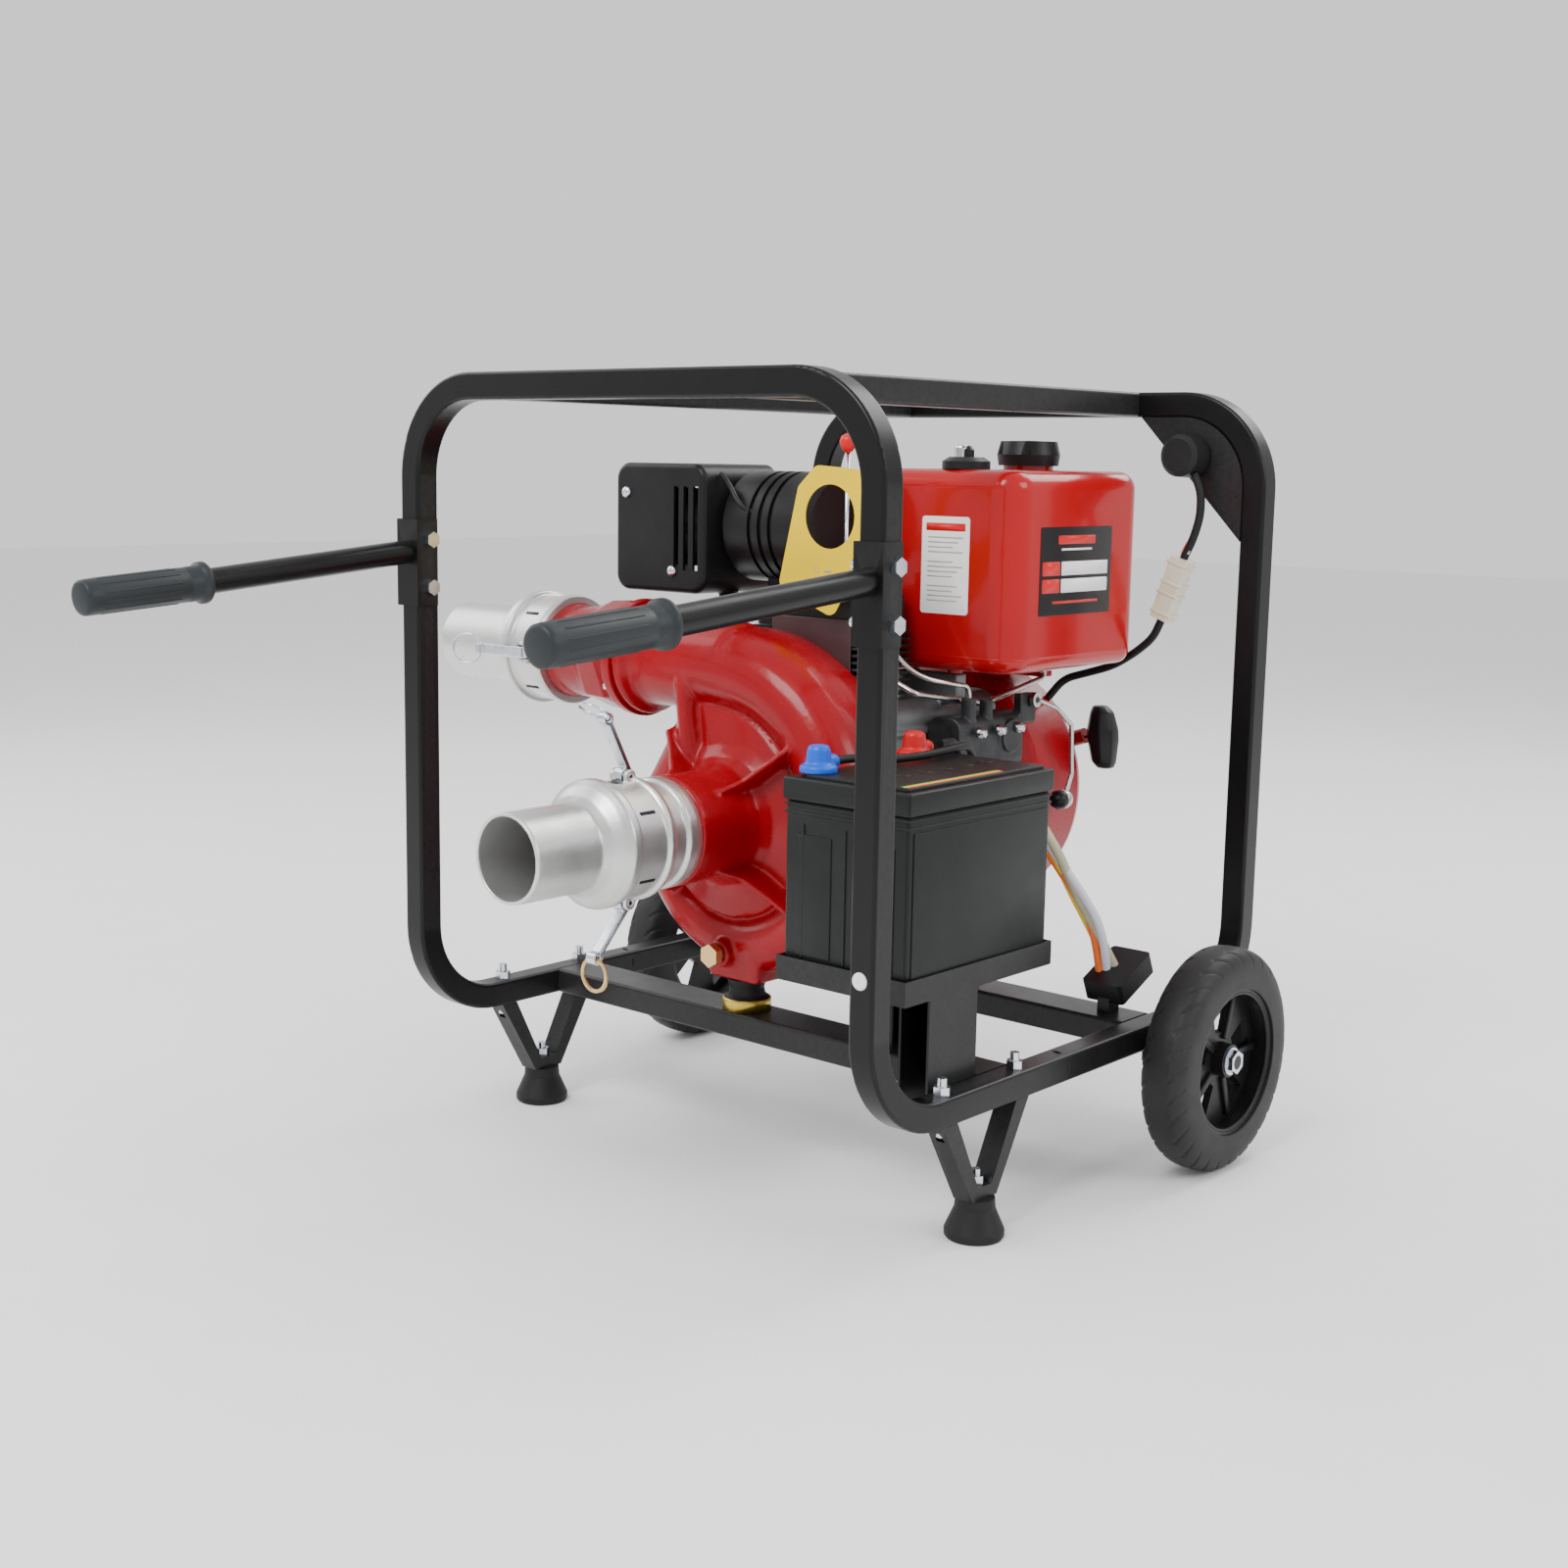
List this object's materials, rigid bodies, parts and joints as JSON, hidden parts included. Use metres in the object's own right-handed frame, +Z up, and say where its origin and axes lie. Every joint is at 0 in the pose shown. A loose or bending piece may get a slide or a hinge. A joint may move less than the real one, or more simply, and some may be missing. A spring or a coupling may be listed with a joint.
{
  "type": "portable fire pump",
  "caption": "Diesel engine driven centrifugal fire pump in a square-tube frame with wheels, feet, carrying handles, battery and lever couplings.",
  "frame": {"origin": "on the floor, under the centre of the machine's bounding box", "axes": "+Z up, -Y towards the suction end and handles, +X towards the battery"},
  "size_m": [0.966, 1.1638, 0.89],
  "materials": {
    "black_powder_coat": "satin powder coat",
    "pump_red": "gloss paint on casting",
    "tank_red": "gloss enamel",
    "cast_aluminium": "satin casting",
    "engine_grey": "die-cast, as cast",
    "heat_black": "matt heat paint",
    "zinc_steel": "zinc plated",
    "machined_steel": "ground",
    "cast_iron": "as cast",
    "brass": "machined",
    "black_rubber": "moulded",
    "grip_rubber": "moulded",
    "tyre_rubber": "moulded tread",
    "black_plastic": "fine grain",
    "battery_black": "satin polypropylene",
    "cap_blue": "moulded",
    "cap_red": "moulded",
    "label_card": "printed card, no lettering",
    "tag_yellow": "printed card, no lettering",
    "cable_black": "braided sleeve",
    "connector_clear": "translucent nylon"
  },
  "bodies": {
    "chassis": {"front_hoop": "black_powder_coat", "rear_hoop": "black_powder_coat", "frame_bars": "black_powder_coat", "muffler": "heat_black", "corner_gusset": "black_powder_coat", "battery_tray": "black_powder_coat", "axle": "black_powder_coat", "foot_legs": "black_powder_coat", "rubber_feet": "black_rubber", "handle_tubes": "black_powder_coat", "handle_grips": "grip_rubber", "fasteners": "zinc_steel", "volute_casing": "pump_red", "drain_plug": "brass", "pump_bracket": "pump_red", "shaft_seal": "machined_steel", "crankcase": "engine_grey", "crankcase_cover": "engine_grey", "cylinder_barrel": "heat_black", "rocker_cover": "heat_black", "muffler_guard": "heat_black", "air_cleaner": "black_plastic", "fuel_tank": "tank_red", "tank_vent": "black_plastic", "fuel_line": "machined_steel", "injection_pump": "engine_grey", "blower_shroud": "pump_red", "recoil_cover": "pump_red", "starter_motor": "heat_black", "regulator": "black_plastic", "battery_case": "battery_black", "battery_lid": "battery_black", "terminal_caps": "cap_blue", "battery_leads": "cable_black", "key_switch": "black_rubber", "harness_connector": "connector_clear", "wiring_harness": "cable_black", "suction_adaptor": "cast_aluminium", "suction_coupler": "cast_aluminium", "discharge_adaptor": "pump_red", "discharge_coupler": "cast_aluminium", "vibration_mounts": "black_rubber"},
    "left_wheel": {"left_rim": "black_plastic", "left_tyre": "tyre_rubber"},
    "right_wheel": {"right_rim": "black_plastic", "right_tyre": "tyre_rubber"},
    "rotor": {"crankshaft": "machined_steel", "flywheel": "cast_iron", "impeller": "cast_iron"},
    "pull_handle": {"recoil_handle": "black_plastic"},
    "rope_pulley": {"recoil_pulley": "black_plastic"},
    "suction_top_cam": {"suction_top_lever": "zinc_steel"},
    "suction_bottom_cam": {"suction_bottom_lever": "zinc_steel"},
    "discharge_front_cam": {"discharge_front_lever": "zinc_steel"},
    "discharge_rear_cam": {"discharge_rear_lever": "zinc_steel"},
    "key": {"ignition_key": "zinc_steel"},
    "decompressor": {"decompression_lever": "zinc_steel"},
    "speed_control": {"speed_lever": "machined_steel"},
    "filler_cap": {"fuel_cap": "black_plastic"},
    "tag": {"hang_tag": "tag_yellow"}
  },
  "joints": [
    {"name": "left_wheel_spin", "type": "hinge", "parent": "chassis", "child": "left_wheel", "pos_m": [-0.36, 0.398, 0.13], "axis": [1, 0, 0], "continuous": true},
    {"name": "right_wheel_spin", "type": "hinge", "parent": "chassis", "child": "right_wheel", "pos_m": [0.454, 0.398, 0.13], "axis": [1, 0, 0], "continuous": true},
    {"name": "rotor_spin", "type": "hinge", "parent": "chassis", "child": "rotor", "pos_m": [0.017, 0.085, 0.395], "axis": [0, 1, 0], "continuous": true},
    {"name": "recoil_pull", "type": "slide", "parent": "chassis", "child": "pull_handle", "axis": [0.6, 0.8, 0], "range_m": [0, 0.6], "stiffness_N_per_m": 20, "springref_m": -0.4},
    {"name": "recoil_pulley_spin", "type": "hinge", "parent": "chassis", "child": "rope_pulley", "pos_m": [0.017, 0.547, 0.395], "axis": [0, 1, 0], "range_deg": [0, 520]},
    {"name": "suction_top_cam_turn", "type": "hinge", "parent": "chassis", "child": "suction_top_cam", "pos_m": [0.017, -0.128, 0.464], "axis": [-1, 0, 0], "range_deg": [-62, 40]},
    {"name": "suction_bottom_cam_turn", "type": "hinge", "parent": "chassis", "child": "suction_bottom_cam", "pos_m": [0.017, -0.128, 0.326], "axis": [1, 0, 0], "range_deg": [-48, 55]},
    {"name": "discharge_front_cam_turn", "type": "hinge", "parent": "chassis", "child": "discharge_front_cam", "pos_m": [-0.298, 0.016, 0.565], "axis": [0, 0, 1], "range_deg": [-4, 95]},
    {"name": "discharge_rear_cam_turn", "type": "hinge", "parent": "chassis", "child": "discharge_rear_cam", "pos_m": [-0.298, 0.154, 0.565], "axis": [0, 0, -1], "range_deg": [-4, 95]},
    {"name": "key_turn", "type": "hinge", "parent": "chassis", "child": "key", "pos_m": [0.299, 0.55, 0.814], "axis": [0, 1, 0], "range_deg": [0, 90]},
    {"name": "decompression_tilt", "type": "hinge", "parent": "chassis", "child": "decompressor", "pos_m": [0.066, 0.182, 0.662], "axis": [0, 1, 0], "range_deg": [0, 35]},
    {"name": "speed_lever_turn", "type": "hinge", "parent": "chassis", "child": "speed_control", "pos_m": [0.189, 0.403, 0.52], "axis": [1, 0, 0], "range_deg": [-12, 12]},
    {"name": "fuel_cap_turn", "type": "hinge", "parent": "chassis", "child": "filler_cap", "pos_m": [0.147, 0.427, 0.812], "axis": [0, 0, 1], "range_deg": [0, 90]},
    {"name": "hang_tag_swing", "type": "hinge", "parent": "chassis", "child": "tag", "pos_m": [0.087, 0.1266, 0.792], "axis": [1, 0, 0], "range_deg": [-20, 3]}
  ],
  "couplings": [
    {"joint": "recoil_pulley_spin", "follows": "recoil_pull", "rad_per_m": 14.7}
  ]
}
